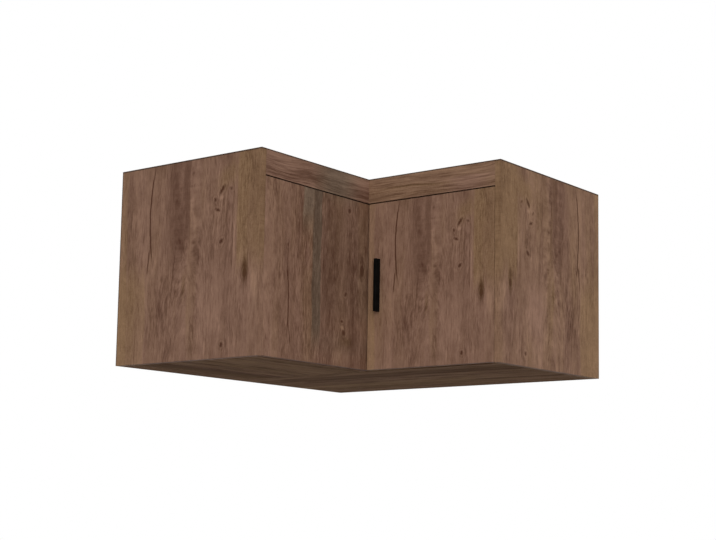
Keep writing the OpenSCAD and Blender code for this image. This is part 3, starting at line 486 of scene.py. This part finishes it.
# Backs
# Two sheets of 3 mm hardboard, which is pressed wood fibre with short dark and pale flecks. They lie
# in rebates of the side panels and are nailed to the rear edges of the boards.
fibre, r = finish("hardboard")
place = r.own_place()
fibres = r.noise(place, 900, 3, 0.7)
clouds = r.span(r.noise(place, 16, 3), 0.2, 0.8, 0.44, 0.56)
fibre_tone = r.math("MULTIPLY_ADD", r.math("SUBTRACT", fibres, 0.5), 0.9, clouds)
fibre_colour = r.mix(r.span(fibre_tone, 0.2, 0.8), linear(108, 78, 55), linear(146, 112, 84))
fibre_bump = r.node("Bump", {"Strength": 0.3, "Distance": 0.0003, "Height": fibres})
fibre_skin = r.node("BsdfPrincipled", {"Base Color": fibre_colour, "Specular IOR Level": 0.25,
                                       "Roughness": r.span(fibres, 0.2, 0.8, 0.62, 0.78),
                                       "Normal": fibre_bump})
r.node("OutputMaterial", {"Surface": fibre_skin})
wear(["back_panel_left", "back_panel_right"], fibre)

# Rear post and hanging rails
# The post stands in the corner of the walls, between the bottom and the top boards. The rails lie
# under the top boards, against the backs, and the wall screws go through them. All are of chipboard
# with the foil.
board("oak_rear_post", "rear_post", Y, Z, X, stretch=False, seed=17.0)
board("oak_rail_left", "hanging_rail_left", Z, Y, X, stretch=False, seed=19.0)
board("oak_rail_right", "hanging_rail_right", Z, X, Y, stretch=False, seed=22.0)

# Fascias
# One strip of board over each front, with the grain lying along it. They butt in the inside corner,
# and brackets behind them hold them to the top boards. A dark line shows along their upper edge.
fascia_rim = ("across", 0.0604, 0.0620, 0.064)
board("oak_fascia_left", "fascia_left", Z, Y, X, stretch=False, seed=25.0, light=-0.02, strength=1.15,
      run=3.0, rims=[fascia_rim],
      bands=[(0.029, 0.0015, 0.033, 0.002, 0.08, 0.18, -0.20, 0.1),
             (0.012, 0.004, 0.020, 0.004, 0.00, 0.30, -0.08, 0.0),
             (-0.01, 0.004, 0.070, 0.004, 0.20, 0.31, -0.09, 0.5),
             (-0.01, 0.004, 0.030, 0.004, 0.33, 0.42, -0.12, -0.3)],
      greys=[(-0.01, 0.004, 0.070, 0.004, 0.20, 0.33, 0.9)])
board("oak_fascia_right", "fascia_right", Z, X, Y, stretch=False, seed=28.0, olive=0.35, run=3.0,
      rims=[fascia_rim],
      bands=[(0.026, 0.0015, 0.031, 0.002, 0.07, 0.23, -0.22, 0.2),
             (-0.01, 0.004, 0.040, 0.004, 0.27, 0.36, -0.02, -0.5)])

# Corner post
# A rebated batten behind the inside corner of the fronts, with the same foil. One of its lips stops
# the door, and the end of the fixed front is screwed to the other.
board("oak_corner_post", "corner_post", X, Z, Y, stretch=False, seed=31.0)

# Shelf
# One L-shaped board with the foil, cut from a single sheet and notched round the rear post. It lies
# loose on five pins.
board("oak_shelf", "shelf", Y, X, Z, stretch=False, seed=34.0)

# Fixed front
# The left front is a board from another part of the pattern: darker, with a grey strip, a long
# split and a dark knot near the inside corner. Screws and brackets hold it from behind.
board("oak_fixed_front", "fixed_front", Y, Z, X, seed=41.0, light=-0.08, olive=0.08, strength=0.98,
      knots=[(0.389, 0.264, 0.0062, 0.0150, 0, 1.2),
             (0.332, 0.418, 0.0060, 0.0070, 30, 0.8),
             (0.321, 0.192, 0.0050, 0.0075, -35, 0.8),
             (0.308, 0.119, 0.0060, 0.0045, 0, 0.7),
             (0.316, 0.089, 0.0060, 0.0090, 40, 0.9),
             (0.090, 0.218, 0.0032, 0.0090, 0, 0.9),
             (0.089, 0.290, 0.0030, 0.0070, 0, 0.5)],
      cracks=[(0.095, 0.150, 0.095, 0.0025, -0.02, -0.5, 1.0),
              (0.099, 0.075, 0.050, 0.0018, -0.14, 0.0, 0.7),
              (0.090, 0.255, 0.060, 0.0016, 0.03, 0.0, 0.6)],
      greys=[(0.184, 0.003, 0.217, 0.0015, 0.06, 0.52, 0.9),
             (0.147, 0.003, 0.184, 0.003, 0.36, 0.52, 0.9),
             (0.184, 0.003, 0.370, 0.012, 0.45, 0.52, 0.8),
             (0.217, 0.003, 0.440, 0.003, 0.06, 0.06, 0.8),
             (0.217, 0.003, 0.440, 0.003, 0.12, 0.42, 0.18)],
      bands=[(0.184, 0.003, 0.217, 0.0015, 0.06, 0.52, -0.13, 0.2),
             (0.147, 0.003, 0.184, 0.003, 0.36, 0.52, 0.02, 0.5),
             (0.217, 0.002, 0.440, 0.010, -0.10, 0.52, -0.09, 0.0),
             (0.184, 0.003, 0.380, 0.012, 0.455, 0.52, -0.06, 0.5),
             (-0.01, 0.002, 0.070, 0.006, -0.10, 0.52, 0.08, 0.0),
             (0.125, 0.004, 0.147, 0.003, 0.35, 0.52, -0.08, 0.0)],
      patches=[(0.165, 0.270, 0.020, 0.050, 0, 0.06, -0.3),
               (0.310, 0.103, 0.011, 0.008, 0, 0.30, 0.2),
               (0.330, 0.066, 0.045, 0.022, 0, -0.10, 0.4),
               (0.300, 0.020, 0.120, 0.040, 0, 0.10, 0.0),
               (0.389, 0.276, 0.012, 0.048, 0, -0.32, -0.2),
               (0.360, 0.250, 0.040, 0.120, 0, -0.08, -0.1)])

# Door
# The right front is a board with its long edges eased, and hangs on two hinges. It carries the same
# part of the pattern as the side panels, a little lighter where the handle is.
lighter_bands = [
    (0.006, 0.003, 0.040, 0.005, -0.10, 0.520, 0.06, -0.05),
    (-0.01, 0.003, 0.086, 0.005, -0.10, 0.200, 0.01, -0.30),
    (0.152, 0.026, 0.224, 0.002, 0.260, 0.520, 0.04, 0.00),
]
door_sheet = dict(sheet, bands=sheet["bands"] + lighter_bands)
board("oak_door", "door", X, Z, Y, strength=0.86, **door_sheet)

# Handle
# A slim bar, cast hollow from behind, with a fine matt black powder coat. Two screws through the door
# hold its solid ends.
coat, r = finish("black_powder_coat")
place = r.own_place()
powder = r.noise(place, 2600, 2, 0.6)
coat_cloud = r.span(r.noise(place, 60), 0.35, 0.65)
coat_colour = r.mix(coat_cloud, (0.0014, 0.0013, 0.0012, 1), (0.0026, 0.0024, 0.0022, 1))
coat_bump = r.node("Bump", {"Strength": 0.25, "Distance": 0.0002, "Height": powder})
coat_skin = r.node("BsdfPrincipled", {"Base Color": coat_colour, "Specular IOR Level": 0.05,
                                      "Roughness": r.span(powder, 0.2, 0.8, 0.58, 0.72),
                                      "Normal": coat_bump})
r.node("OutputMaterial", {"Surface": coat_skin})
wear(["handle_bar"], coat)


# Hinges
# Two concealed cup hinges of nickel plated pressed steel: cup, link, arm, pin and mounting plate. The
# cup is let into the door and screwed to it, and the plate is screwed to the right side panel.
def metal(name, colour, rough, grain, spread=0.10):
    """Plated metal. Its colour clouds to 0.82 of itself, its roughness varies about rough by spread
    with noise of grain waves to the metre, and that noise is also its slight orange-peel bump."""
    material, r = finish(name)
    place = r.own_place()
    peel = r.noise(place, grain, 3, 0.6)
    clouded = r.span(r.noise(place, 90), 0.3, 0.7)
    dull = tuple(share * 0.82 for share in colour[:3]) + (1.0,)
    gloss = r.math("MULTIPLY_ADD", r.math("SUBTRACT", peel, 0.5), spread * 2, rough)
    bump = r.node("Bump", {"Strength": 0.12, "Distance": 0.0002, "Height": peel})
    skin = r.node("BsdfPrincipled", {"Base Color": r.mix(clouded, dull, colour), "Metallic": 1.0,
                                     "Roughness": gloss, "Normal": bump})
    r.node("OutputMaterial", {"Surface": skin})
    return material


nickel = metal("nickel_plate", (0.62, 0.60, 0.56, 1), rough=0.30, grain=700)
wear(["hinge_cups", "hinge_links", "hinge_arms", "hinge_pins", "hinge_plates"], nickel)

# Screws, nails, bolts, pins and brackets
# All of zinc plated steel: the screws, nails and bolts are headed from wire, the shelf pins turned,
# and the brackets behind the fascias and the fixed front pressed from sheet.
zinc = metal("zinc_plate", (0.58, 0.60, 0.63, 1), rough=0.36, grain=900)
wear(["handle_screws", "hinge_cup_screws", "hinge_arm_screws", "hinge_plate_screws", "cam_bolts",
      "shelf_pins", "back_nails", "fascia_brackets", "fascia_bracket_screws", "front_screws",
      "front_brackets", "front_bracket_screws"], zinc)

# Cam locks
# Drums of die-cast zinc in the faces of the boards, duller than the screws. Each is turned to draw in
# the head of a cam bolt.
cast = metal("cast_zinc", (0.30, 0.30, 0.31, 1), rough=0.52, grain=400, spread=0.16)
wear(["cam_locks"], cast)

# Dowels
# Pins of bare beech in the ends of the boards and posts. They keep each joint in line while the cams
# draw it together.
beech, r = finish("beech")
beech_fleck = r.span(r.noise(r.own_place(), 1400, 3, 0.6), 0.3, 0.7)
beech_colour = r.mix(beech_fleck, linear(186, 148, 108), linear(214, 180, 140))
beech_skin = r.node("BsdfPrincipled", {"Base Color": beech_colour, "Roughness": 0.7})
r.node("OutputMaterial", {"Surface": beech_skin})
wear(["dowels"], beech)

# Door bumpers
# Two dots of clear soft plastic, stuck on the corner post's lip behind the door's free edge. The door
# closes on them.
clear, r = finish("clear_rubber")
haze = r.noise(r.own_place(), 500)
clear_skin = r.node("BsdfPrincipled", {"Base Color": (0.82, 0.84, 0.85, 1), "Transmission Weight": 0.6,
                                       "Roughness": r.span(haze, 0.3, 0.7, 0.22, 0.34), "IOR": 1.45})
r.node("OutputMaterial", {"Surface": clear_skin})
wear(["door_bumpers"], clear)
